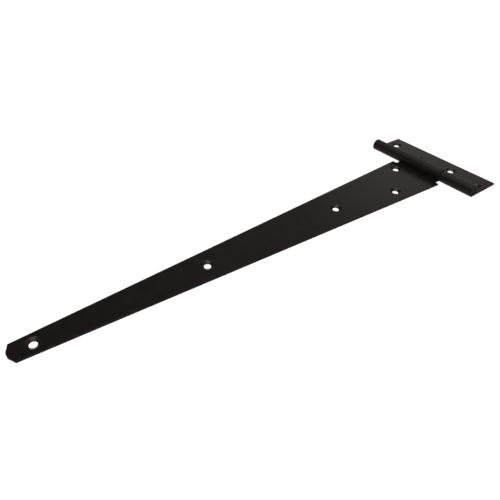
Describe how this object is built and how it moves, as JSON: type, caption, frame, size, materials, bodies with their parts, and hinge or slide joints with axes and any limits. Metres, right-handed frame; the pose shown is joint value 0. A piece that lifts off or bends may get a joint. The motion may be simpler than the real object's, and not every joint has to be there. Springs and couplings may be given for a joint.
{
  "type": "t hinge",
  "caption": "Black surface-mounted T hinge: a long tapered strap that turns on a pin between the rolled knuckles of a short cross plate, with countersunk screw holes.",
  "frame": {"origin": "middle of the cross plate's back face, 22 mm beyond the hinge pin", "axes": "+Z out of the front faces of both leaves; X along the hinge pin; the strap points towards -Y"},
  "size_m": [0.132, 0.4935, 0.0131],
  "materials": {
    "plate_coat": "satin black powder coat",
    "strap_coat": "satin black powder coat",
    "pin_coat": "thin black coat over drawn steel"
  },
  "bodies": {
    "cross_plate": {"cross_plate": "plate_coat", "hinge_pin": "pin_coat"},
    "strap": {"strap": "strap_coat"}
  },
  "joints": [
    {"name": "pin_turn", "type": "hinge", "parent": "cross_plate", "child": "strap", "pos_m": [0, -0.022, 0.00625], "axis": [-1, 0, 0], "range_deg": [-95, 190]}
  ]
}
